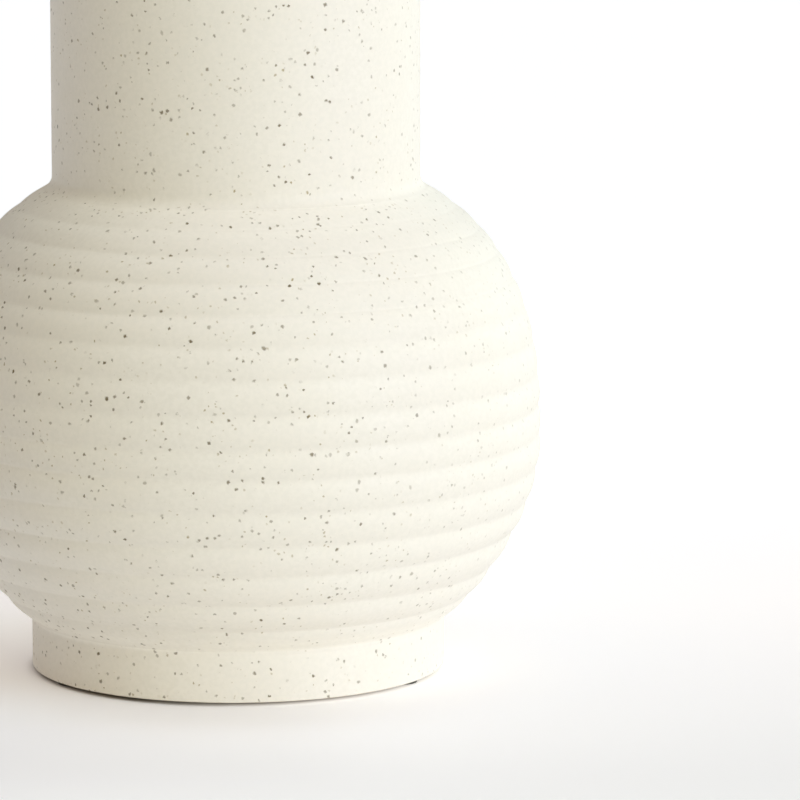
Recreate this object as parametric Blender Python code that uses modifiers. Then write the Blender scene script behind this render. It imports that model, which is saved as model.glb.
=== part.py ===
"""Stoneware vase: a ribbed globe on a plain foot band, with a wide straight neck, standing on three pads.

The pot is made of thrown sections, luted together with slip: the foot band, the floor slab, two bowls that
meet in a groove near the globe's widest ring, and the neck. Metres, +Z up, origin on the table under the
pot's axis.
"""

import math

import bmesh
import bpy

# Driving dimensions.
HEIGHT = 0.270
GLOBE_RADIUS = 0.1035
NECK_RADIUS = 0.0624
FOOT_RADIUS = 0.0706
WALL = 0.006
GAP = 0.0003  # clearance that touching solids keep

# The globe's outline, through the crests of its ribs. It would close on the axis at its reach above and below
# the widest ring, and a squareness of 2 would make it an ellipse.
WIDEST_Z = 0.0790
REACH_ABOVE = 0.0978
REACH_BELOW = 0.0914
SQUARENESS_ABOVE = 2.65
SQUARENESS_BELOW = 1.8

# Heights of the grooves that the potter's fingers left, from the crease over the foot band up to the neck.
GROOVE_HEIGHTS = (
    (0.0185, 0.0265, 0.0360, 0.0475, 0.0580, 0.0695, 0.0810, 0.0910)
    + (0.1015, 0.1130, 0.1240, 0.1340, 0.1430, 0.1515, 0.1590, 0.1660)
)
SEAM_GROOVE = 7
GROOVE_DEPTH_LOW = 0.00085
GROOVE_DEPTH_HIGH = 0.00040
POINTS_PER_RIB = 3
INSIDE_STEPS = 9

# Where a section sits on the next one, a tongue of the lower one stands inside the upper one.
TONGUE_HEIGHT = 0.003
TONGUE_THICKNESS = 0.0028
MOUTH_BEVEL = 0.0005

# Foot band and floor slab.
PAD_THICKNESS = 0.0010
FOOT_RING_WIDTH = 0.0135
FOOT_EDGE_ROUND = 0.0005
FOOT_EDGE_STEPS = 2
FOOT_LEDGE_Z = 0.0040
FOOT_LEDGE_WIDTH = 0.0050
SLAB_THICKNESS = 0.0070
SLAB_EDGE_BEVEL = 0.0010

# Anti-slip pads.
PAD_RADIUS = 0.0050
PAD_EDGE_INSET = 0.0014
PAD_BEVEL = 0.0002
PAD_ANGLES = {"pad_front_right": -30.5, "pad_back": 89.5, "pad_front_left": 209.5}

SEGMENTS = 64
PAD_SEGMENTS = 24
LIP_STEPS = 4
SMOOTH_ANGLE = math.radians(40)

CREASE_Z = GROOVE_HEIGHTS[0]
SEAM_Z = GROOVE_HEIGHTS[SEAM_GROOVE]
NECK_Z = GROOVE_HEIGHTS[-1]
UNDERSIDE_Z = PAD_THICKNESS + GAP
SEAT_RADIUS = FOOT_RADIUS - FOOT_RING_WIDTH + FOOT_LEDGE_WIDTH


def material(name, colour, roughness):
    made = bpy.data.materials.new(name)
    made.use_nodes = True
    shader = made.node_tree.nodes["Principled BSDF"]
    shader.inputs["Base Color"].default_value = (*colour, 1.0)
    shader.inputs["Roughness"].default_value = roughness
    shader.inputs["Metallic"].default_value = 0.0
    return made


def turned(name, outline, segments, finish, collection):
    """A closed (radius, z) outline turned about Z. It runs down the outer side and back up the inner side."""
    mesh = bpy.data.meshes.new(name)
    shape = bmesh.new()
    points = [shape.verts.new((radius, 0.0, z)) for radius, z in outline]
    on_axis = outline[0][0] == 0.0 and outline[-1][0] == 0.0
    ends = points[1:] if on_axis else points[1:] + points[:1]
    for start, end in zip(points, ends):
        shape.edges.new((start, end))
    shape.to_mesh(mesh)
    shape.free()
    piece = bpy.data.objects.new(name, mesh)
    collection.objects.link(piece)
    screw = piece.modifiers.new("Turn", "SCREW")
    screw.steps = segments
    screw.render_steps = segments
    screw.use_merge_vertices = True
    screw.merge_threshold = 0.00001
    piece.data.materials.append(finish)
    settle(piece)
    return piece


def settle(piece):
    """Applies the piece's modifiers and shades it smooth up to the sharp edges."""
    graph = bpy.context.evaluated_depsgraph_get()
    solid = bpy.data.meshes.new_from_object(piece.evaluated_get(graph))
    piece.modifiers.clear()
    outline = piece.data
    piece.data = solid
    solid.name = piece.name
    bpy.data.meshes.remove(outline)
    solid.shade_smooth()
    solid.set_sharp_from_angle(angle=SMOOTH_ANGLE)


def outside_radius(height):
    """Radius of the globe's outline, through the crests of its ribs."""
    if height > WIDEST_Z:
        squareness, share = SQUARENESS_ABOVE, (height - WIDEST_Z) / REACH_ABOVE
    else:
        squareness, share = SQUARENESS_BELOW, (WIDEST_Z - height) / REACH_BELOW
    return GLOBE_RADIUS * (1.0 - share**squareness) ** (1.0 / squareness)


def sunk_point(height, depth):
    """A point of the globe's outline, as (radius, z), moved in square to the surface."""
    nudge = 0.0001
    slope = (outside_radius(height + nudge) - outside_radius(height - nudge)) / (2.0 * nudge)
    inward = depth / math.hypot(1.0, slope)
    return outside_radius(height) - inward, height + inward * slope


def groove_depth(height):
    """The grooves get shallower from the foot band up to the neck."""
    share = (height - CREASE_Z) / (NECK_Z - CREASE_Z)
    return GROOVE_DEPTH_LOW + (GROOVE_DEPTH_HIGH - GROOVE_DEPTH_LOW) * share


def ribbed_outside(low_groove, high_groove):
    """Points down the outside from one groove to another. Each rib is a shallow round band between two."""
    points = []
    for groove in range(high_groove, low_groove, -1):
        rib_top = GROOVE_HEIGHTS[groove]
        rib_bottom = GROOVE_HEIGHTS[groove - 1]
        for step in range(POINTS_PER_RIB):
            along = step / POINTS_PER_RIB
            height = rib_top + (rib_bottom - rib_top) * along
            points.append(sunk_point(height, groove_depth(height) * (1.0 - 4.0 * along * (1.0 - along))))
    low_z = GROOVE_HEIGHTS[low_groove]
    points.append(sunk_point(low_z, groove_depth(low_z)))
    return points


# The inside is an ellipse above and below the widest ring. It leaves the wall its thickness there and at the
# neck's spigot, and comes down to the slab's edge.
INSIDE_RADIUS = GLOBE_RADIUS - WALL
INSIDE_START_Z = CREASE_Z + TONGUE_HEIGHT
MOUTH_RADIUS = NECK_RADIUS - TONGUE_THICKNESS
MOUTH_BOTTOM_Z = NECK_Z - 2.0 * TONGUE_HEIGHT


def inside_reach(radius, height):
    """How far from the widest ring the inside would close on the axis, if it passes through one point."""
    return abs(height - WIDEST_Z) / math.sqrt(1.0 - (radius / INSIDE_RADIUS) ** 2)


INSIDE_REACH_ABOVE = inside_reach(MOUTH_RADIUS + MOUTH_BEVEL, MOUTH_BOTTOM_Z - MOUTH_BEVEL)
INSIDE_REACH_BELOW = inside_reach(SEAT_RADIUS, INSIDE_START_Z)


def inside_point(turn):
    """turn is an angle that runs from below the widest ring, where it is negative, to above it."""
    reach = INSIDE_REACH_ABOVE if turn > 0.0 else INSIDE_REACH_BELOW
    return INSIDE_RADIUS * math.cos(turn), WIDEST_Z + reach * math.sin(turn)


def inside_turn(height):
    reach = INSIDE_REACH_ABOVE if height > WIDEST_Z else INSIDE_REACH_BELOW
    return math.asin((height - WIDEST_Z) / reach)


def plain_inside(low_z, high_z):
    """Points up the globe's inside from one height to another."""
    low = inside_turn(low_z)
    high = inside_turn(high_z)
    return [inside_point(low + (high - low) * step / INSIDE_STEPS) for step in range(INSIDE_STEPS + 1)]


def foot_band(finish, collection):
    """A plain ring with an unglazed contact face, a ledge inside for the slab and a tongue on top."""
    top = CREASE_Z - GAP
    well = FOOT_RADIUS - FOOT_RING_WIDTH
    tongue = SEAT_RADIUS + TONGUE_THICKNESS
    tongue_top = top + TONGUE_HEIGHT
    outline = [(SEAT_RADIUS, tongue_top), (tongue, tongue_top), (tongue, top), (FOOT_RADIUS, top)]
    for step in range(FOOT_EDGE_STEPS + 1):
        turn = 0.5 * math.pi * step / FOOT_EDGE_STEPS
        radius = FOOT_RADIUS - FOOT_EDGE_ROUND * (1.0 - math.cos(turn))
        outline.append((radius, UNDERSIDE_Z + FOOT_EDGE_ROUND * (1.0 - math.sin(turn))))
    outline += [(well, UNDERSIDE_Z), (well, FOOT_LEDGE_Z), (SEAT_RADIUS, FOOT_LEDGE_Z)]
    return turned("foot_band", outline, SEGMENTS, finish, collection)


def base_slab(finish, collection):
    """The pot's floor, which rests on the foot band's ledge."""
    radius = SEAT_RADIUS - GAP
    low = FOOT_LEDGE_Z + GAP
    high = low + SLAB_THICKNESS
    outline = [
        (0.0, high),
        (radius - SLAB_EDGE_BEVEL, high),
        (radius, high - SLAB_EDGE_BEVEL),
        (radius, low),
        (0.0, low),
    ]
    return turned("base_slab", outline, SEGMENTS, finish, collection)


def lower_bowl(finish, collection):
    """Stands on the foot band round its tongue, and carries a tongue of its own at the seam."""
    tongue_top = SEAM_Z + TONGUE_HEIGHT
    inside = plain_inside(INSIDE_START_Z, tongue_top)
    tongue = inside[-1][0] + TONGUE_THICKNESS
    socket = SEAT_RADIUS + TONGUE_THICKNESS + GAP
    outline = [(tongue, tongue_top), (tongue, SEAM_Z)]
    outline += ribbed_outside(0, SEAM_GROOVE)
    outline[-1] = (FOOT_RADIUS, CREASE_Z)
    outline += [(socket, CREASE_Z), (socket, INSIDE_START_Z)]
    outline += inside
    return turned("lower_bowl", outline, SEGMENTS, finish, collection)


def upper_bowl(finish, collection):
    """Sits on the lower bowl round its tongue, and has an open mouth with a level seat for the neck."""
    seam = SEAM_Z + GAP
    roof = SEAM_Z + TONGUE_HEIGHT + GAP
    socket = inside_point(inside_turn(SEAM_Z + TONGUE_HEIGHT))[0] + TONGUE_THICKNESS + GAP
    outline = [(MOUTH_RADIUS, NECK_Z)]
    outline += ribbed_outside(SEAM_GROOVE, len(GROOVE_HEIGHTS) - 1)
    outline[1] = (NECK_RADIUS, NECK_Z)
    outline[-1] = (outline[-1][0], seam)
    outline += [(socket, seam), (socket, roof)]
    outline += plain_inside(roof, MOUTH_BOTTOM_Z - MOUTH_BEVEL)
    outline.append((MOUTH_RADIUS, MOUTH_BOTTOM_Z))
    return turned("upper_bowl", outline, SEGMENTS, finish, collection)


def neck(finish, collection):
    """Stands on the shoulder's seat, with a spigot down inside the mouth and a rounded lip on top."""
    inside = NECK_RADIUS - WALL
    spigot = MOUTH_RADIUS - GAP
    seat = NECK_Z + GAP
    lip = WALL / 2.0
    outline = []
    for step in range(LIP_STEPS + 1):
        turn = math.pi * step / LIP_STEPS
        outline.append((inside + lip * (1.0 - math.cos(turn)), HEIGHT - lip * (1.0 - math.sin(turn))))
    outline += [(NECK_RADIUS, seat), (spigot, seat), (spigot, seat - TONGUE_HEIGHT), (inside, seat - TONGUE_HEIGHT)]
    return turned("neck", outline, SEGMENTS, finish, collection)


def pads(finish, collection):
    """Round stick-on discs on the foot's contact face, close to its outer edge."""
    reach = FOOT_RADIUS - PAD_EDGE_INSET - PAD_RADIUS
    outline = [
        (0.0, PAD_THICKNESS),
        (PAD_RADIUS - PAD_BEVEL, PAD_THICKNESS),
        (PAD_RADIUS, PAD_THICKNESS - PAD_BEVEL),
        (PAD_RADIUS, 0.0),
        (0.0, 0.0),
    ]
    for name, degrees in PAD_ANGLES.items():
        pad = turned(name, outline, PAD_SEGMENTS, finish, collection)
        turn = math.radians(degrees)
        pad.location = (reach * math.cos(turn), reach * math.sin(turn), 0.0)


def main():
    for item in list(bpy.data.objects):
        bpy.data.objects.remove(item, do_unlink=True)
    collection = bpy.data.collections.new("stoneware_vase")
    bpy.context.scene.collection.children.link(collection)
    foot_band(material("foot_stoneware", (0.76, 0.70, 0.57), 0.62), collection)
    base_slab(material("slab_stoneware", (0.70, 0.62, 0.49), 0.70), collection)
    lower_bowl(material("lower_glaze", (0.80, 0.75, 0.63), 0.55), collection)
    upper_bowl(material("upper_glaze", (0.80, 0.75, 0.63), 0.55), collection)
    neck(material("neck_glaze", (0.80, 0.75, 0.63), 0.55), collection)
    pads(material("pad_rubber", (0.06, 0.06, 0.05), 0.80), collection)


main()
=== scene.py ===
"""Looks of the stoneware vase: each thrown section as a fine mesh with its ribs, lip and slip-filled joints,
speckled matt glaze outside and in, bare clay under the foot, and rubber pads. Metres, +Z up."""

import math
import random

import bpy
import numpy as np
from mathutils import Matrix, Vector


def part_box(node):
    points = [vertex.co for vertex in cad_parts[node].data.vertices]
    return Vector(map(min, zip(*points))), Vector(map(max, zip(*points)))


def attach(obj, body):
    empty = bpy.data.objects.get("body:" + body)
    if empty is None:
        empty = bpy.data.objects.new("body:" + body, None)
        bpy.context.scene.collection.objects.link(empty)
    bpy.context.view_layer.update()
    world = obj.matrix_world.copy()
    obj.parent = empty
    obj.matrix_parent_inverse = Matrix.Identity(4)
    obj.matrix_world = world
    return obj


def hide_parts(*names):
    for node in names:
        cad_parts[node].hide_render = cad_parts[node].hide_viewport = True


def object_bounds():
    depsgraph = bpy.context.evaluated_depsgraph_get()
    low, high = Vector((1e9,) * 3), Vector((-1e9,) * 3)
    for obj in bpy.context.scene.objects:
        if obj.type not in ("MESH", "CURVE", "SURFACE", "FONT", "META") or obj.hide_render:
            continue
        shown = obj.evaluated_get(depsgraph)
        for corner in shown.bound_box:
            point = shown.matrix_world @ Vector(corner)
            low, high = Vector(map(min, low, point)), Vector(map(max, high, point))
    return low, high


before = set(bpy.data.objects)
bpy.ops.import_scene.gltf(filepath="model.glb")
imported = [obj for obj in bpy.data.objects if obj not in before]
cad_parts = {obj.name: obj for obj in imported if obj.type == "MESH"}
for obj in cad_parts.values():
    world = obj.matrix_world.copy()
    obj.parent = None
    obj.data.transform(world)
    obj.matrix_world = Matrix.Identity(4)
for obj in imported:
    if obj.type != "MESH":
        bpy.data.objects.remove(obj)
cad_low, cad_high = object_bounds()

# The joints between the sections.
TONGUE_HEIGHT = 0.003
TONGUE_THICKNESS = 0.0028
SEAT_CLEARANCE = 0.0003  # between the floor slab and its rebate
FOOT_RING_WIDTH = 0.0135  # the contact face under the foot

# Sizes read from the frame.
HEIGHT = cad_high.z
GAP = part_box("lower_bowl")[0].z - (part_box("foot_band")[1].z - TONGUE_HEIGHT)
NECK_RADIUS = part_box("neck")[1].x
FOOT_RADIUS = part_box("foot_band")[1].x
UNDERSIDE_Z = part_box("foot_band")[0].z
SLAB_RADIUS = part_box("base_slab")[1].x
SLAB_LOW_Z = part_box("base_slab")[0].z
SLAB_HIGH_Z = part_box("base_slab")[1].z

# The globe's outline and the heights of its grooves, as the frame was designed.
GLOBE_RADIUS = 0.1035
WALL = 0.006
WIDEST_Z = 0.0790
REACH_ABOVE = 0.0978  # from the widest ring to where the outline would close over the top
REACH_BELOW = 0.0914
SQUARENESS_ABOVE = 2.65  # 2 is an ellipse, and more is fuller
SQUARENESS_BELOW = 1.8
GROOVE_HEIGHTS = (
    (0.0185, 0.0265, 0.0360, 0.0475, 0.0580, 0.0695, 0.0810, 0.0910)
    + (0.1015, 0.1130, 0.1240, 0.1340, 0.1430, 0.1515, 0.1590, 0.1660)
)
SEAM_GROOVE = 7
TOP_GROOVE = len(GROOVE_HEIGHTS) - 1
CREASE_Z = GROOVE_HEIGHTS[0]
SEAM_Z = GROOVE_HEIGHTS[SEAM_GROOVE]
NECK_Z = GROOVE_HEIGHTS[TOP_GROOVE]
SEAT_RADIUS = SLAB_RADIUS + SEAT_CLEARANCE
MOUTH_RADIUS = NECK_RADIUS - TONGUE_THICKNESS
MOUTH_BOTTOM_Z = NECK_Z - 2.0 * TONGUE_HEIGHT
FOOT_WELL_RADIUS = FOOT_RADIUS - FOOT_RING_WIDTH
FOOT_LEDGE_Z = SLAB_LOW_Z - SEAT_CLEARANCE

# The hand's marks.
GROOVE_DEPTH_LOW = 0.00085
GROOVE_DEPTH_HIGH = 0.00040  # the top grooves are shallower than the ones near the foot
GROOVE_SOFTNESS = 0.20  # 0 is a sharp groove between two round ribs
DEPTH_SPREAD = 0.22  # how much one groove's depth differs from the next one's
DEPTH_DRIFT = 0.22  # how much a groove's depth changes on its way round
DRIFT_WAVES = 5
GROOVE_WANDER = 0.00040  # how far a groove goes up and down on its way round
WANDER_WAVES = 4
SHOULDER_FILLET = 0.0050  # radius of the slip in the corner between neck and shoulder
CREASE_FILLET = 0.0035  # radius of the glaze in the crease over the foot
FOOT_EDGE_ROUND = 0.0003
SLAB_FILLET = 0.0030

# The fingers' ridges inside, and the turning tool's rings under the floor.
RING_RISE_INSIDE = 0.00016
RING_PITCH_INSIDE = 0.0085
RING_FADE = 8.0  # the ridges fade out over an eighth of a section at each joint
SLAB_RING_FADE = 6.0
TRIM_RISE = 0.00012
TRIM_PITCH = 0.0031
TRIM_MARGIN = 0.0005  # between the outermost ring and the slab's edge

# How a thrown pot is out of round: an oval and a three-lobed wave, both turning a little with height.
OUT_OF_ROUND = 0.0010  # the oval's share of the radius, at the rim
OVAL_START = 0.7
OVAL_TWIST = 6.0
LOBE_SHARE = 0.5  # of the oval's
LOBE_START = 2.0
LOBE_TWIST = 9.0
LARGEST_WAVE = 1.0 + LOBE_SHARE

# Painted light and shade in the glaze, which is usually 0 to 1: below the even level it is painted shade,
# above it painted light.
NO_PAINTED_SHADING = 0.5
CREASE_PAINTED_LIGHT = 1.6  # painted light in the crease, on top of the even level
CORNER_PAINTED_LIGHT = 1.1  # painted light in the shoulder's corner
NECK_PAINTED_SHADE = -0.55  # painted shade on the neck

SEGMENTS = 256
STEPS_PER_RIB = 14
INSIDE_STEPS = 40
NECK_STEPS = 36
ROUND_STEPS = 8
LIP_STEPS = 20
SMOOTH_ANGLE = math.radians(42)

AROUND = np.arange(SEGMENTS) * 2.0 * math.pi / SEGMENTS
hand = random.Random(7)


def smooth_turns(size, waves):
    """A gentle wave round the pot, made of a few sines. It has no seam."""
    wave = np.zeros(SEGMENTS)
    for turns in range(1, waves + 1):
        wave += np.sin(turns * AROUND + hand.uniform(0.0, 2.0 * math.pi)) * hand.uniform(0.4, 1.0) / turns
    return wave * size


GROOVE_WAVES = [smooth_turns(GROOVE_WANDER, WANDER_WAVES) for _ in GROOVE_HEIGHTS]


def groove_depth(height):
    """A groove's depth all the way round."""
    share = (height - CREASE_Z) / (NECK_Z - CREASE_Z)
    usual = GROOVE_DEPTH_LOW + (GROOVE_DEPTH_HIGH - GROOVE_DEPTH_LOW) * share
    return usual * (1.0 + hand.uniform(-1.0, 1.0) * DEPTH_SPREAD + smooth_turns(DEPTH_DRIFT, DRIFT_WAVES))


GROOVE_DEPTHS = [groove_depth(height) for height in GROOVE_HEIGHTS]
GROOVE_DEPTHS[0] = GROOVE_DEPTHS[TOP_GROOVE] = np.zeros(SEGMENTS)  # a fillet takes their place


# Outline of the globe.

def outside_radius(height):
    """Radius of the globe's outline, through the crests of its ribs."""
    above = np.clip((height - WIDEST_Z) / REACH_ABOVE, 0.0, 1.0)
    below = np.clip((WIDEST_Z - height) / REACH_BELOW, 0.0, 1.0)
    upper = (1.0 - above**SQUARENESS_ABOVE) ** (1.0 / SQUARENESS_ABOVE)
    lower = (1.0 - below**SQUARENESS_BELOW) ** (1.0 / SQUARENESS_BELOW)
    return GLOBE_RADIUS * upper * lower


TUCK = float(outside_radius(CREASE_Z)) - FOOT_RADIUS


def tucked_radius(height):
    """The outline with its lowest rib drawn in to meet the foot band."""
    share = np.clip((GROOVE_HEIGHTS[1] - height) / (GROOVE_HEIGHTS[1] - CREASE_Z), 0.0, 1.0)
    return outside_radius(height) - TUCK * share**2


def slope_at(height):
    """How fast the outline's radius grows with height."""
    nudge = 0.0001
    return (tucked_radius(height + nudge) - tucked_radius(height - nudge)) / (2.0 * nudge)


def sunk_ring(height, depth):
    """A ring of the globe's outside, moved in square to the surface."""
    slope = slope_at(height)
    inward = depth / np.hypot(1.0, slope)
    return tucked_radius(height) - inward, height + inward * slope


def groove_ring_height(groove):
    """A groove wanders up and down a little on its way round, except where a flat joint meets it."""
    if groove in (0, TOP_GROOVE):
        return np.full(SEGMENTS, GROOVE_HEIGHTS[groove])
    return GROOVE_HEIGHTS[groove] + GROOVE_WAVES[groove]


def crown(along):
    """Height of a rib's round back over its grooves, from 0 in a groove to 1 on the crest."""
    arch = 4.0 * along * (1.0 - along)
    soft = GROOVE_SOFTNESS
    return (math.hypot(arch, soft) - soft) / (math.hypot(1.0, soft) - soft)


def painted_globe_shading(height, along):
    """Painted shading of the globe: painted light just under each groove and painted shade just above the
    next one, though less so near the foot. It is lightest in the shoulder's corner and in the crease, where
    light is painted too."""
    contrast = np.interp(height, (GROOVE_HEIGHTS[0], GROOVE_HEIGHTS[5]), (0.3, 1.0))
    # painted light just under each groove and painted shade just above the next
    rib_light_and_shade = np.interp(along, (0.0, 0.15, 0.9, 1.0), (NO_PAINTED_SHADING, 1.0, 0.0, NO_PAINTED_SHADING)) - NO_PAINTED_SHADING
    return NO_PAINTED_SHADING + contrast * rib_light_and_shade + painted_shading_by_height(height)


def painted_shading_by_height(height):
    """Painted light in the shoulder's corner and in the crease, and painted shade on the neck."""
    # painted light in the crease and in the shoulder's corner
    crease = np.interp(height - CREASE_Z, (-0.001, 0.0, 0.003, 0.006), (0.0, 0.7, 1.0, 0.0))
    corner = np.interp(NECK_Z - height, (-0.003, 0.0, 0.002, 0.006, 0.010), (0.0, 0.3, 1.0, 0.8, 0.0))
    # painted shade on the neck
    neck_shade = np.interp(height - NECK_Z, (0.0, 0.004), (0.0, NECK_PAINTED_SHADE))
    return crease * CREASE_PAINTED_LIGHT + corner * CORNER_PAINTED_LIGHT + neck_shade


def ribbed_outside(low_groove, high_groove):
    """Rings down the outside from one groove to another, closest together in the grooves."""
    rings = []
    for groove in range(high_groove, low_groove, -1):
        top = groove_ring_height(groove)
        bottom = groove_ring_height(groove - 1)
        for step in range(STEPS_PER_RIB):
            along = 0.5 - 0.5 * math.cos(math.pi * step / STEPS_PER_RIB)
            depth = GROOVE_DEPTHS[groove] * (1.0 - along) + GROOVE_DEPTHS[groove - 1] * along
            radius, height = sunk_ring(top + (bottom - top) * along, depth * (1.0 - crown(along)))
            rings.append((radius, height, painted_globe_shading(height, along)))
    rings.append(sunk_ring(groove_ring_height(low_groove), GROOVE_DEPTHS[low_groove]))
    return rings


def arc(centre_radius, centre_z, size, start, end, steps):
    """Points of a circle's arc in the outline. Angles are in degrees, from +radius towards +Z."""
    points = []
    for step in range(steps + 1):
        turn = math.radians(start + (end - start) * step / steps)
        points.append((centre_radius + size * math.cos(turn), centre_z + size * math.sin(turn)))
    return points


class Fillet:
    """Slip that rounds the concave corner between an upright wall and the globe, as an arc that touches both.
    The two sections share it, cut at the height where they meet. side is 1 where the globe lies below the
    corner, and -1 where it lies above."""

    def __init__(self, radius, wall_radius, joint_z, side):
        slope = float(slope_at(joint_z))
        corner_z = joint_z - (float(tucked_radius(joint_z)) - wall_radius) / slope
        bend = math.atan(abs(slope))
        self.side = side
        self.size = radius
        self.centre_radius = wall_radius + radius
        self.centre_z = corner_z + side * radius * math.tan(bend / 2.0)
        self.bend = math.degrees(bend)
        self.split = math.degrees(math.asin((self.centre_z - joint_z) * side / radius))
        self.globe_end_z = self.centre_z - side * radius * math.sin(bend)

    def points(self, start, end):
        """start and end are in degrees of the bend, from the upright wall."""
        start, end = 180.0 + self.side * start, 180.0 + self.side * end
        return arc(self.centre_radius, self.centre_z, self.size, start, end, ROUND_STEPS)

    def wall_part(self):
        return self.points(0.0, self.split)

    def globe_part(self):
        return self.points(self.split, self.bend)


SHOULDER = Fillet(SHOULDER_FILLET, NECK_RADIUS, NECK_Z, 1)
CREASE = Fillet(CREASE_FILLET, FOOT_RADIUS, CREASE_Z, -1)


# Inside of the globe.
INSIDE_RADIUS = GLOBE_RADIUS - WALL
INSIDE_START_Z = CREASE_Z + TONGUE_HEIGHT


def inside_reach(radius, height):
    """The height of the ellipse that passes through a point of the inside."""
    return abs(height - WIDEST_Z) / math.sqrt(1.0 - (radius / INSIDE_RADIUS) ** 2)


INSIDE_REACH_ABOVE = inside_reach(MOUTH_RADIUS, MOUTH_BOTTOM_Z)
INSIDE_REACH_BELOW = inside_reach(SEAT_RADIUS, INSIDE_START_Z)


def inside_radius(height):
    reach = INSIDE_REACH_ABOVE if height > WIDEST_Z else INSIDE_REACH_BELOW
    return INSIDE_RADIUS * math.sqrt(1.0 - ((height - WIDEST_Z) / reach) ** 2)


def throwing_ring(distance):
    """The fingers' low ridges on the inside."""
    return RING_RISE_INSIDE * math.sin(2.0 * math.pi * distance / RING_PITCH_INSIDE)


def fade_at_joints(along):
    """The ridges fade out towards both ends of a section."""
    return min(1.0, RING_FADE * along, RING_FADE * (1.0 - along))


def plain_inside(low, high):
    """Rings up the globe's inside."""
    rings = []
    for step in range(INSIDE_STEPS + 1):
        along = step / INSIDE_STEPS
        height = low + (high - low) * along
        rings.append((inside_radius(height) - fade_at_joints(along) * throwing_ring(height), height))
    return rings


# Meshes.

def ring_points(ring):
    """A ring's points. A thrown pot is never quite round, and less so the higher it goes."""
    radius, height = (np.broadcast_to(value, SEGMENTS) for value in ring[:2])
    share = np.clip((height - UNDERSIDE_Z) / HEIGHT, 0.0, 1.0)
    oval = np.sin(2.0 * AROUND + OVAL_START + OVAL_TWIST * height)
    lobes = np.sin(3.0 * AROUND + LOBE_START - LOBE_TWIST * height)
    radius = radius * (1.0 + OUT_OF_ROUND * share * (oval + LOBE_SHARE * lobes - LARGEST_WAVE))
    return np.stack([radius * np.cos(AROUND), radius * np.sin(AROUND), height], axis=1)


def turned(name, rings, finish):
    """A closed body of rings that run down the outer side and back up the inner side. Where the first and the
    last ring have no radius, each is one point on the axis. A ring is its radius, its height and its painted
    shading."""
    on_axis = np.max(rings[0][0]) == 0.0
    loops = []
    points = []
    painted_shadings = []
    for ring in rings:
        painted_shading = ring[2] if len(ring) > 2 else NO_PAINTED_SHADING + painted_shading_by_height(ring[1])
        if np.max(ring[0]) == 0.0:
            loops.append([len(points)] * SEGMENTS)
            points.append((0.0, 0.0, float(np.max(ring[1]))))
            painted_shadings.append(NO_PAINTED_SHADING)
        else:
            loops.append(list(range(len(points), len(points) + SEGMENTS)))
            points.extend(map(tuple, ring_points(ring)))
            painted_shadings.extend(np.broadcast_to(painted_shading, SEGMENTS))
    faces = []
    for upper, lower in zip(loops, loops[1:] if on_axis else loops[1:] + loops[:1]):
        for here in range(SEGMENTS):
            after = (here + 1) % SEGMENTS
            corners = [upper[here], lower[here], lower[after], upper[after]]
            faces.append([corner for turn, corner in enumerate(corners) if corner not in corners[:turn]])
    mesh = bpy.data.meshes.new(name)
    mesh.from_pydata(points, [], faces)
    mesh.attributes.new("painted_shading", "FLOAT", "POINT").data.foreach_set("value", np.array(painted_shadings, dtype=np.float32))
    mesh.validate()
    mesh.shade_smooth()
    mesh.set_sharp_from_angle(angle=SMOOTH_ANGLE)
    mesh.materials.append(finish)
    piece = bpy.data.objects.new(name, mesh)
    bpy.context.scene.collection.objects.link(piece)
    return piece


def place(piece, node):
    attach(piece, "root")
    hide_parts(node)


def foot_band(finish):
    """The ring, its edges rounded by a sponge. It meets the bowl in a crease."""
    tongue = SEAT_RADIUS + TONGUE_THICKNESS
    tongue_top = CREASE_Z + TONGUE_HEIGHT
    rings = [(SEAT_RADIUS, tongue_top), (tongue, tongue_top), (tongue, CREASE_Z)]
    rings += CREASE.wall_part()[::-1]
    top = CREASE.centre_z
    for step in range(1, ROUND_STEPS):
        rings.append((FOOT_RADIUS, top + (UNDERSIDE_Z + FOOT_EDGE_ROUND - top) * step / ROUND_STEPS))
    edge = FOOT_EDGE_ROUND
    rings += arc(FOOT_RADIUS - edge, UNDERSIDE_Z + edge, edge, 0.0, -90.0, ROUND_STEPS)
    rings += arc(FOOT_WELL_RADIUS + edge, UNDERSIDE_Z + edge, edge, -90.0, -180.0, ROUND_STEPS)
    rings += [(FOOT_WELL_RADIUS, FOOT_LEDGE_Z), (SEAT_RADIUS, FOOT_LEDGE_Z)]
    return turned("foot_band_glazed", rings, finish)


def base_slab(finish):
    """The floor. Slip fills the corner round its top, and its underside carries the turning tool's rings."""
    rings = [(0.0, SLAB_HIGH_Z)]
    flat = SEAT_RADIUS - SLAB_FILLET
    for step in range(1, INSIDE_STEPS + 1):
        radius = flat * step / INSIDE_STEPS
        fade = min(1.0, SLAB_RING_FADE * (1.0 - step / INSIDE_STEPS))
        rings.append((radius, SLAB_HIGH_Z + fade * throwing_ring(radius)))
    rings += arc(flat, SLAB_HIGH_Z + SLAB_FILLET, SLAB_FILLET, -90.0, 0.0, ROUND_STEPS)[1:]
    rings.append((SEAT_RADIUS, SLAB_LOW_Z))
    well_steps = 4 * INSIDE_STEPS
    for step in range(well_steps, -1, -1):
        radius = (SEAT_RADIUS - TRIM_MARGIN) * step / well_steps
        rings.append((radius, SLAB_LOW_Z + TRIM_RISE * (1.0 + math.cos(2.0 * math.pi * radius / TRIM_PITCH))))
    return turned("floor_slab", rings, finish)


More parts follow.
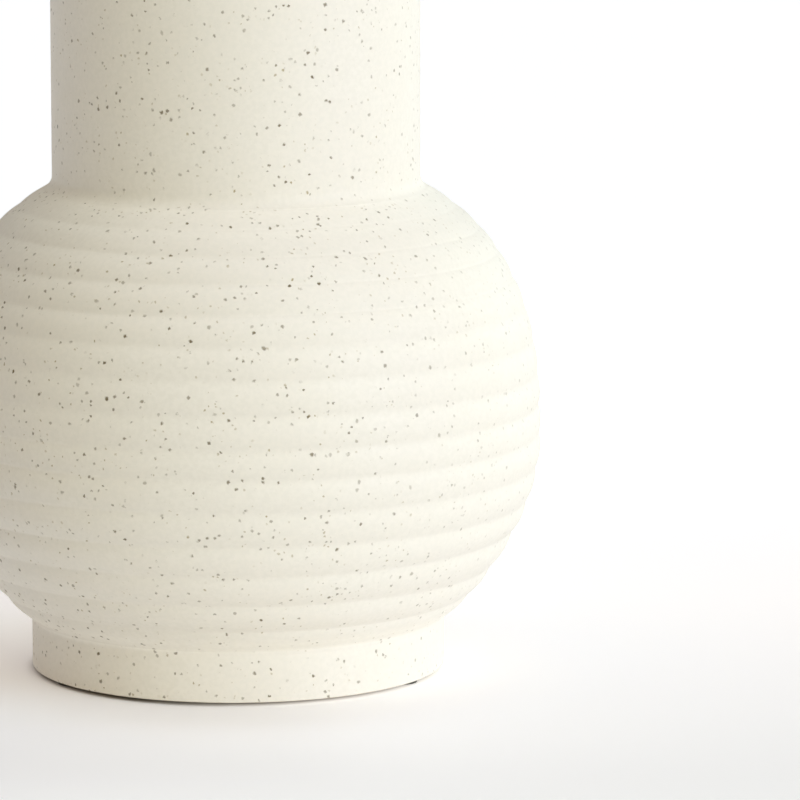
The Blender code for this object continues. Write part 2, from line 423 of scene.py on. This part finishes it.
def lower_bowl(finish):
    """The lower half of the globe, with the seam's tongue on top."""
    tongue_top = SEAM_Z + TONGUE_HEIGHT
    inside = plain_inside(INSIDE_START_Z, tongue_top)
    tongue = inside[-1][0] + TONGUE_THICKNESS
    socket = SEAT_RADIUS + TONGUE_THICKNESS + GAP
    rings = [(tongue, tongue_top), (tongue, SEAM_Z)]
    rings += [ring for ring in ribbed_outside(0, SEAM_GROOVE) if np.mean(ring[1]) > CREASE.globe_end_z]
    rings += CREASE.globe_part()[::-1]
    rings += [(socket, CREASE_Z), (socket, INSIDE_START_Z)]
    return turned("lower_bowl_glazed", rings + inside, finish)


def upper_bowl(finish):
    """The upper half of the globe, which sits on the seam's tongue and has a flat mouth for the neck."""
    roof = SEAM_Z + TONGUE_HEIGHT
    inside = plain_inside(roof, MOUTH_BOTTOM_Z)
    socket = inside[0][0] + TONGUE_THICKNESS + GAP
    rings = [(MOUTH_RADIUS, NECK_Z)] + SHOULDER.globe_part()
    ribs = ribbed_outside(SEAM_GROOVE, TOP_GROOVE)
    rings += [ring for ring in ribs if np.mean(ring[1]) < SHOULDER.globe_end_z]
    rings += [(socket, SEAM_Z), (socket, roof)]
    return turned("upper_bowl_glazed", rings + inside, finish)


def neck(finish):
    """The cylinder, its rounded lip, and the fillet of slip in the corner at its foot."""
    inside = NECK_RADIUS - WALL
    spigot = MOUTH_RADIUS - GAP
    lip = WALL / 2.0
    rings = arc(inside + lip, HEIGHT - lip, lip, 180.0, 0.0, LIP_STEPS)
    straight_end = SHOULDER.centre_z
    for step in range(1, NECK_STEPS):
        rings.append((NECK_RADIUS, HEIGHT - lip + (straight_end - HEIGHT + lip) * step / NECK_STEPS))
    rings += SHOULDER.wall_part()
    rings += [(spigot, NECK_Z), (spigot, MOUTH_BOTTOM_Z), (inside, MOUTH_BOTTOM_Z)]
    for step in range(1, NECK_STEPS):
        along = step / NECK_STEPS
        height = MOUTH_BOTTOM_Z + (HEIGHT - lip - MOUTH_BOTTOM_Z) * along
        rings.append((inside - fade_at_joints(along) * throwing_ring(height), height))
    return turned("neck_glazed", rings, finish)


def pad(node, finish):
    """A stick-on disc, its rim pressed out a little by the pot's weight."""
    low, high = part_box(node)
    radius = (high.x - low.x) / 2.0
    bevel = (high.z - low.z) / 3.0
    middle_x, middle_y = (low.x + high.x) / 2.0, (low.y + high.y) / 2.0
    rings = [(0.0, high.z)]
    rings += arc(radius - bevel, high.z - bevel, bevel, 90.0, 0.0, ROUND_STEPS)
    rings += arc(radius - bevel, low.z + bevel, bevel, 0.0, -90.0, ROUND_STEPS)
    rings.append((0.0, low.z))
    piece = turned(node + "_rubber", rings, finish)
    for vertex in piece.data.vertices:
        vertex.co.x += middle_x
        vertex.co.y += middle_y
    return piece


# Materials. Colours are linear.
USUAL_NOISE = (0.3, 0.7)  # most of a noise is between these


def add_node(tree, kind, inputs, **settings):
    """Adds a shader node. An input is a number, a colour or another node's output."""
    made = tree.nodes.new(kind)
    for name, value in settings.items():
        setattr(made, name, value)
    for socket, value in inputs.items():
        if isinstance(value, bpy.types.NodeSocket):
            tree.links.new(value, made.inputs[socket])
        else:
            made.inputs[socket].default_value = value
    return made


def calculate(tree, operation, first, second):
    """One step of arithmetic on numbers or outputs."""
    return add_node(tree, "ShaderNodeMath", {0: first, 1: second}, operation=operation).outputs[0]


def combine(tree, operation, inputs):
    """One step of arithmetic on vectors or colours."""
    return add_node(tree, "ShaderNodeVectorMath", inputs, operation=operation).outputs[0]


def rescale(tree, value, old_low, old_high, new_low, new_high, smooth=True):
    """Takes a value from one range to another and keeps it inside the new one."""
    kind = "SMOOTHSTEP" if smooth else "LINEAR"
    inputs = {"Value": value, "From Min": old_low, "From Max": old_high}
    inputs.update({"To Min": new_low, "To Max": new_high})
    return add_node(tree, "ShaderNodeMapRange", inputs, interpolation_type=kind).outputs[0]


def noise(tree, where, size, detail=2.0):
    """A soft noise from 0 to 1, with features about as large as size."""
    inputs = {"Vector": where, "Scale": 1.0 / size, "Detail": detail, "Roughness": 0.5}
    return add_node(tree, "ShaderNodeTexNoise", inputs).outputs[0]


def patchy(tree, where, size, low=0.0, high=1.0, detail=3.0):
    """Soft patches about as large as size, from low to high, with both reached often."""
    return rescale(tree, noise(tree, where, size, detail), *USUAL_NOISE, low, high)


def moved(tree, where, size, reach):
    """Places moved about at random by up to reach, together with the places within size of them."""
    inputs = {"Vector": where, "Scale": 1.0 / size, "Detail": 1.0}
    about = add_node(tree, "ShaderNodeTexNoise", inputs).outputs[1]
    shift = combine(tree, "SUBTRACT", {0: about, 1: (0.5, 0.5, 0.5)})
    shift = combine(tree, "SCALE", {0: shift, "Scale": reach})
    return combine(tree, "ADD", {0: where, 1: shift})


def mix(tree, share, first, second, clamped=True):
    """The first colour where share is 0 and the second where it is 1."""
    made = add_node(tree, "ShaderNodeMix", {}, data_type="RGBA", clamp_factor=clamped)
    for socket, value in ((0, share), (6, first), (7, second)):
        if isinstance(value, bpy.types.NodeSocket):
            tree.links.new(value, made.inputs[socket])
        else:
            made.inputs[socket].default_value = value
    return made.outputs[2]


def tint(tree, colour, factor):
    """A colour times a factor, channel by channel."""
    return combine(tree, "MULTIPLY", {0: colour, 1: factor})


BLACK = (0.0, 0.0, 0.0, 1.0)
WHITE = (1.0, 1.0, 1.0, 1.0)
CREAM = (0.875, 0.844, 0.760, 1.0)
CREAM_WARM = (0.865, 0.829, 0.741, 1.0)
CREAM_SHADE = (0.838, 0.808, 0.723, 1.0)
CREAM_PATCH_SIZE = 0.035
MOTTLE_SIZE = 0.0016
FOOT_PAINTED_LIGHT_LEFT = (1.105, 1.110, 1.120, 1.0)  # painted light on the foot, strongest on its left
FOOT_PAINTED_LIGHT_RIGHT = (1.02, 1.02, 1.03, 1.0)
FOOT_PAINTED_LIGHT_X = (-0.04, 0.02)  # the one gives way to the other between these
# the tints for painted shade and for painted light
PAINTED_SHADE_TINT = (0.974, 0.972, 0.970, 1.0)
PAINTED_LIGHT_TINT = (1.026, 1.028, 1.030, 1.0)
GLAZE_ROUGHNESS = (0.50, 0.62)
ROUGHNESS_PATCH_SIZE = 0.004
GLAZE_GRAIN_SIZE = 0.0009
GLAZE_RELIEF = (0.35, 0.00006)  # strength and rise

# The iron grains: the larger ones show dark brown, and the smaller and fainter ones light brown.
IRON = (0.150, 0.112, 0.045, 1.0)
IRON_SPACING = 0.0030
IRON_RADIUS = 0.00066
IRON_FAINTEST = 0.37
IRON_BUNCH_SIZE = 0.0075
IRON_BUNCHES = (0.43, 0.51)  # the noise's values between which the grains come in
RUST = (0.40, 0.33, 0.18, 1.0)
RUST_SPACING = 0.0026
RUST_RADIUS = 0.00047
RUST_FAINTEST = 0.14
RUST_BUNCH_SIZE = 0.011
RUST_BUNCHES = (0.45, 0.57)
RUST_FEWEST = 0.05  # the share of the small grains that shows between their bunches
SMALLEST_GRAIN = 0.80  # of the usual radius
LARGEST_GRAIN = 1.30
SCATTER = (0.006, 0.0016)  # size and reach of the shifts that put the grains out of order
RAGGED = (0.0007, 0.0009)  # and of the ones that make their shapes uneven
GRAIN_CORE = 0.40  # the share of a grain's radius that has its full colour
GRAIN_SHINE = 0.12  # how much less rough a grain is
GRAIN_DENT = 0.5  # of the glaze's grain
GRAINS_UNDER_PAINTED_GLARE = 0.42  # the strength of the grains on the right, where they are faded as painted glare
PAINTED_GLARE_X = (0.025, 0.090)
FOOT_GRAINS_APART = 1.1

# The bare clay.
BARE_CLAY = (0.60, 0.50, 0.37, 1.0)
BARE_CLAY_DARK = (0.55, 0.44, 0.31, 1.0)
TOASTED_EDGE_AND_PAINTED_SHADE = (0.38, 0.30, 0.20, 1.0)  # the glaze's brown edge, which also stands as painted shade along the foot's bottom edge
TOASTED_HEIGHT = 0.0003
TOASTED_WANDER = 0.0003
TOASTED_WAVE_SIZE = 0.006
BARE_EDGE = 0.0002
WIPED_Z = UNDERSIDE_Z - 0.00005  # the foot's glaze is wiped off below this
CLAY_PATCH_SIZE = 0.03
CLAY_GRIT_SIZE = 0.0007
CLAY_RELIEF = (0.5, 0.0001)
SLAB_GLAZE_Z = (SLAB_HIGH_Z - 0.002, SLAB_HIGH_Z - 0.001)  # the slab's glaze ends between these
SLAB_ROUGHNESS = (0.85, 0.55)  # bare and glazed

# The pads.
RUBBER = (0.062, 0.064, 0.050, 1.0)
RUBBER_DUST = (0.14, 0.14, 0.12, 1.0)
RUBBER_ROUGHNESS = (0.62, 0.85)  # clean and dusty
MOST_DUST = 0.35
DUST_SIZE = 0.0015
DUST_NOISE = (0.4, 0.75)  # the noise's values for no dust and for the most
RUBBER_GRAIN_SIZE = 0.0004
RUBBER_RELIEF = (0.3, 0.00005)


def roughen(tree, shader, height, strength, rise):
    """Fine relief in the surface."""
    bump = add_node(tree, "ShaderNodeBump", {"Height": height, "Strength": strength, "Distance": rise})
    tree.links.new(bump.outputs[0], shader.inputs["Normal"])


def grains(tree, where, spacing, radius, faintest):
    """Iron grains in the clay: balls in space, so the surface cuts each at its own width. Gives a mask that
    is 0 off the grains and from faintest to 1 on them."""
    inputs = {"Vector": where, "Scale": 1.0 / spacing, "Randomness": 1.0}
    cells = add_node(tree, "ShaderNodeTexVoronoi", inputs)
    chances = add_node(tree, "ShaderNodeSeparateColor", {"Color": cells.outputs["Color"]})
    smallest = SMALLEST_GRAIN * radius / spacing
    largest = LARGEST_GRAIN * radius / spacing
    size = rescale(tree, chances.outputs[0], 0.0, 1.0, smallest, largest, False)
    inside = calculate(tree, "DIVIDE", cells.outputs["Distance"], size)
    mask = rescale(tree, inside, GRAIN_CORE, 1.0, 1.0, 0.0)
    strength = rescale(tree, chances.outputs[1], 0.0, 1.0, faintest, 1.0, False)
    return calculate(tree, "MULTIPLY", mask, strength)


def new_material(name):
    made = bpy.data.materials.new(name)
    made.use_nodes = True
    tree = made.node_tree
    return made, tree, tree.nodes["Principled BSDF"]


def speckled(tree, where, ground, apart=1.0):
    """The ground colour with the grains in it, and the grains' mask. On the pot's right side the grains are
    faded by painted glare."""
    across = add_node(tree, "ShaderNodeSeparateXYZ", {0: where}).outputs[0]
    # painted glare: the grains fade towards the pot's right side
    strength = rescale(tree, across, *PAINTED_GLARE_X, 1.0, GRAINS_UNDER_PAINTED_GLARE)
    ragged = moved(tree, moved(tree, where, *SCATTER), *RAGGED)
    large = grains(tree, ragged, IRON_SPACING * apart, IRON_RADIUS, IRON_FAINTEST)
    small = grains(tree, ragged, RUST_SPACING * apart, RUST_RADIUS, RUST_FAINTEST)
    large_bunches = rescale(tree, noise(tree, where, IRON_BUNCH_SIZE), *IRON_BUNCHES, 0.0, 1.0)
    small_bunches = rescale(tree, noise(tree, where, RUST_BUNCH_SIZE), *RUST_BUNCHES, RUST_FEWEST, 1.0)
    iron = calculate(tree, "MULTIPLY", calculate(tree, "MULTIPLY", large, large_bunches), strength)
    rust = calculate(tree, "MULTIPLY", calculate(tree, "MULTIPLY", small, small_bunches), strength)
    colour = mix(tree, rust, ground, RUST)
    return mix(tree, iron, colour, IRON), calculate(tree, "MAXIMUM", iron, rust)


def glaze(name, bare_below=None):
    """Matt cream glaze over speckled clay, with painted light and shade from the mesh. It is wiped off below
    a height, and turns brown at its edge, with painted shade there; the foot it covers has painted light,
    most on its left.
    """
    made, tree, shader = new_material(name)
    where = add_node(tree, "ShaderNodeTexCoord", {}).outputs["Object"]
    ground = mix(tree, patchy(tree, where, CREAM_PATCH_SIZE), CREAM, CREAM_WARM)
    ground = mix(tree, patchy(tree, where, MOTTLE_SIZE, detail=2.0), ground, CREAM_SHADE)
    # painted light and shade, carried by the mesh's rings
    painted_shading = add_node(tree, "ShaderNodeAttribute", {}, attribute_name="painted_shading").outputs["Fac"]
    ground = tint(tree, ground, mix(tree, painted_shading, PAINTED_SHADE_TINT, PAINTED_LIGHT_TINT, False))
    if bare_below is not None:
        sides = add_node(tree, "ShaderNodeSeparateXYZ", {0: where})
        # painted light on the foot, stronger towards its left
        painted_light_to_right = rescale(tree, sides.outputs[0], *FOOT_PAINTED_LIGHT_X, 0.0, 1.0)
        ground = tint(tree, ground, mix(tree, painted_light_to_right, FOOT_PAINTED_LIGHT_LEFT, FOOT_PAINTED_LIGHT_RIGHT))
        wander = calculate(tree, "SUBTRACT", noise(tree, where, TOASTED_WAVE_SIZE), 0.5)
        wander = calculate(tree, "MULTIPLY", wander, TOASTED_WANDER)
        level = calculate(tree, "ADD", sides.outputs[2], wander)
        # a brown band at the glaze's edge, partly a real toasted edge and partly painted shade
        toasted_and_shaded = rescale(tree, level, bare_below, bare_below + TOASTED_HEIGHT, 1.0, 0.0)
        bare = rescale(tree, level, bare_below - BARE_EDGE, bare_below, 1.0, 0.0)
        ground = mix(tree, bare, mix(tree, toasted_and_shaded, ground, TOASTED_EDGE_AND_PAINTED_SHADE), BARE_CLAY)
    colour, mask = speckled(tree, where, ground, 1.0 if bare_below is None else FOOT_GRAINS_APART)
    tree.links.new(colour, shader.inputs["Base Color"])
    rough = patchy(tree, where, ROUGHNESS_PATCH_SIZE, *GLAZE_ROUGHNESS)
    rough = calculate(tree, "SUBTRACT", rough, calculate(tree, "MULTIPLY", mask, GRAIN_SHINE))
    tree.links.new(rough, shader.inputs["Roughness"])
    dents = calculate(tree, "MULTIPLY", mask, GRAIN_DENT)
    relief = calculate(tree, "SUBTRACT", noise(tree, where, GLAZE_GRAIN_SIZE, 3.0), dents)
    roughen(tree, shader, relief, *GLAZE_RELIEF)
    return made


def bare_clay(name):
    """The floor slab: glazed on top, bare underneath."""
    made, tree, shader = new_material(name)
    where = add_node(tree, "ShaderNodeTexCoord", {}).outputs["Object"]
    height = add_node(tree, "ShaderNodeSeparateXYZ", {0: where}).outputs[2]
    glazed = rescale(tree, height, *SLAB_GLAZE_Z, 0.0, 1.0)
    clay = mix(tree, patchy(tree, where, CLAY_PATCH_SIZE), BARE_CLAY, BARE_CLAY_DARK)
    colour = speckled(tree, where, mix(tree, glazed, clay, CREAM))[0]
    tree.links.new(colour, shader.inputs["Base Color"])
    tree.links.new(rescale(tree, glazed, 0.0, 1.0, *SLAB_ROUGHNESS, False), shader.inputs["Roughness"])
    roughen(tree, shader, noise(tree, where, CLAY_GRIT_SIZE, 4.0), *CLAY_RELIEF)
    return made


def rubber(name):
    """Dark rubber with a little dust on it."""
    made, tree, shader = new_material(name)
    where = add_node(tree, "ShaderNodeTexCoord", {}).outputs["Object"]
    dust = rescale(tree, noise(tree, where, DUST_SIZE, 3.0), *DUST_NOISE, 0.0, MOST_DUST)
    tree.links.new(mix(tree, dust, RUBBER, RUBBER_DUST), shader.inputs["Base Color"])
    rough = rescale(tree, dust, 0.0, MOST_DUST, *RUBBER_ROUGHNESS, False)
    tree.links.new(rough, shader.inputs["Roughness"])
    roughen(tree, shader, noise(tree, where, RUBBER_GRAIN_SIZE), *RUBBER_RELIEF)
    return made


# Stage: a white floor that runs out into white, the soft light of a studio, and a camera.
FLOOR_HALF = 8.0
FLOOR_WHITE = (0.85, 0.85, 0.85, 1.0)

# The floor's glow. A pair of numbers is the two places between which one tone gives way to the next.
GLOW_FRONT = (0.205, 0.220, 0.220, 1.0)
NEAR_FROM_Y = (-0.28, -0.16)
GLOW_NEAR = (0.155, 0.155, 0.168, 1.0)
FAR_FROM_Y = (-0.20, 0.15)
GLOW_FAR = (0.300, 0.275, 0.280, 1.0)
BACKDROP_FROM_Y = (0.05, 0.40)
GLOW_BACKDROP = (0.342, 0.347, 0.380, 1.0)
SHADE = (0.68, 0.68, 0.68, 1.0)  # where the pot keeps light off the floor, in front of it on the left
SHADE_TO_X = (0.0, 0.060)
SHADE_FROM_Y = (-0.22, -0.14)
GLOW_LEAK = (0.45, 0.44, 0.42, 1.0)  # light from the window that gets in under the foot's edge
LEAK_FROM_X = (-0.040, 0.035)
LEAK_START = (FOOT_RADIUS - 0.008, FOOT_RADIUS - 0.001)
LEAK_END = (FOOT_RADIUS - 0.001, FOOT_RADIUS + 0.003)
UNLIT_EDGE = (0.95 * FOOT_RADIUS, 1.05 * FOOT_RADIUS)  # the floor has no glow under the pot

CAMERA_LENS = 240.3
CAMERA_SENSOR = 36.0
CAMERA_PLACE = (0.0, -1.80, 0.378)
CAMERA_DOWN = 9.045  # degrees
CAMERA_RIGHT = 1.767
CAMERA_FAR = 100.0

STUDIO_DARK = (0.02, 0.02, 0.02)  # the light between the patches

# Soft light in broad patches: azimuth from the viewer's side towards +X and height, both in degrees, how
# sharply the patch is bounded, and its colour.
LIGHT_PATCHES = (
    (45.0, 8.0, 8.0, (1.95, 2.20, 1.90)),  # the large window
    (45.0, 30.0, 20.0, (2.00, 2.55, 2.80)),
    (30.0, 8.0, 20.0, (1.95, 1.40, 0.10)),
    (60.0, 8.0, 20.0, (0.45, 0.35, 2.40)),
    (135.0, 8.0, 8.0, (1.80, 2.05, 1.95)),
    (110.0, 20.0, 20.0, (0.55, 0.50, 0.00)),
    (90.0, 65.0, 20.0, (1.10, 1.15, 1.50)),
    (90.0, 48.0, 8.0, (0.36, 0.18, 0.08)),
    (-90.0, 65.0, 20.0, (2.05, 1.90, 1.60)),
    (-30.0, 48.0, 8.0, (0.30, 0.12, 0.00)),
    (0.0, 90.0, 40.0, (1.35, 1.85, 2.20)),  # the ceiling
    (-150.0, 20.0, 8.0, (0.45, 0.45, 0.45)),
)


def stage_floor():
    """The white floor. It glows faintly, so that it runs out into white."""
    made, tree, shader = new_material("stage_white")
    shader.inputs["Base Color"].default_value = FLOOR_WHITE
    shader.inputs["Roughness"].default_value = 0.9
    shader.inputs["Specular IOR Level"].default_value = 0.1
    where = add_node(tree, "ShaderNodeTexCoord", {}).outputs["Object"]
    across, back = add_node(tree, "ShaderNodeSeparateXYZ", {0: where}).outputs[:2]
    away = add_node(tree, "ShaderNodeVectorMath", {0: where}, operation="LENGTH").outputs["Value"]
    glow = mix(tree, rescale(tree, back, *NEAR_FROM_Y, 0.0, 1.0), GLOW_FRONT, GLOW_NEAR)
    left = rescale(tree, across, *SHADE_TO_X, 1.0, 0.0)
    shaded = calculate(tree, "MULTIPLY", left, rescale(tree, back, *SHADE_FROM_Y, 0.0, 1.0))
    glow = tint(tree, glow, mix(tree, shaded, WHITE, SHADE))
    glow = mix(tree, rescale(tree, back, *FAR_FROM_Y, 0.0, 1.0), glow, GLOW_FAR)
    glow = mix(tree, rescale(tree, back, *BACKDROP_FROM_Y, 0.0, 1.0), glow, GLOW_BACKDROP)
    glow = mix(tree, rescale(tree, away, *UNLIT_EDGE, 0.0, 1.0), BLACK, glow)
    starts = rescale(tree, away, *LEAK_START, 0.0, 1.0)
    ends = rescale(tree, away, *LEAK_END, 1.0, 0.0)
    on_right = rescale(tree, across, *LEAK_FROM_X, 0.0, 1.0)
    leak = calculate(tree, "MULTIPLY", calculate(tree, "MULTIPLY", starts, ends), on_right)
    leak = mix(tree, leak, BLACK, GLOW_LEAK)
    tree.links.new(combine(tree, "ADD", {0: glow, 1: leak}), shader.inputs["Emission Color"])
    shader.inputs["Emission Strength"].default_value = 1.0
    mesh = bpy.data.meshes.new("stage_floor")
    corners = [(-FLOOR_HALF, -FLOOR_HALF, 0.0), (FLOOR_HALF, -FLOOR_HALF, 0.0)]
    corners += [(FLOOR_HALF, FLOOR_HALF, 0.0), (-FLOOR_HALF, FLOOR_HALF, 0.0)]
    mesh.from_pydata(corners, [], [(0, 1, 2, 3)])
    mesh.materials.append(made)
    floor = bpy.data.objects.new("stage_floor", mesh)
    bpy.context.scene.collection.objects.link(floor)


def surroundings():
    """The studio round the pot: dark, with broad soft patches of light."""
    world = bpy.data.worlds.new("studio")
    world.use_nodes = True
    bpy.context.scene.world = world
    tree = world.node_tree
    direction = add_node(tree, "ShaderNodeTexCoord", {}).outputs["Generated"]
    light = STUDIO_DARK
    for azimuth, height, sharpness, colour in LIGHT_PATCHES:
        turn = math.radians(azimuth)
        rise = math.radians(height)
        towards = (math.sin(turn) * math.cos(rise), -math.cos(turn) * math.cos(rise), math.sin(rise))
        facing = add_node(tree, "ShaderNodeVectorMath", {0: direction, 1: towards}, operation="DOT_PRODUCT")
        ahead = calculate(tree, "MAXIMUM", facing.outputs["Value"], 0.0)
        patch = calculate(tree, "POWER", ahead, sharpness)
        light = combine(tree, "ADD", {0: light, 1: combine(tree, "SCALE", {0: colour, "Scale": patch})})
    tree.links.new(light, tree.nodes["Background"].inputs["Color"])


def camera():
    """A long lens, slightly above the pot and turned a little to its right."""
    made = bpy.data.objects.new("camera", bpy.data.cameras.new("camera"))
    made.data.sensor_width = CAMERA_SENSOR
    made.data.lens = CAMERA_LENS
    made.data.clip_end = CAMERA_FAR
    made.location = CAMERA_PLACE
    made.rotation_euler = (math.radians(90.0 - CAMERA_DOWN), 0.0, math.radians(-CAMERA_RIGHT))
    bpy.context.scene.collection.objects.link(made)
    bpy.context.scene.camera = made


def main():
    camera()
    body = glaze("cream_glaze")
    place(foot_band(glaze("foot_glaze", WIPED_Z)), "foot_band")
    place(base_slab(bare_clay("slab_clay")), "base_slab")
    place(lower_bowl(body), "lower_bowl")
    place(upper_bowl(body), "upper_bowl")
    place(neck(body), "neck")
    pad_finish = rubber("pad_rubber")
    for name in ("pad_front_right", "pad_back", "pad_front_left"):
        place(pad(name, pad_finish), name)
    stage_floor()
    surroundings()
    bpy.context.scene.view_settings.view_transform = "Standard"


main()
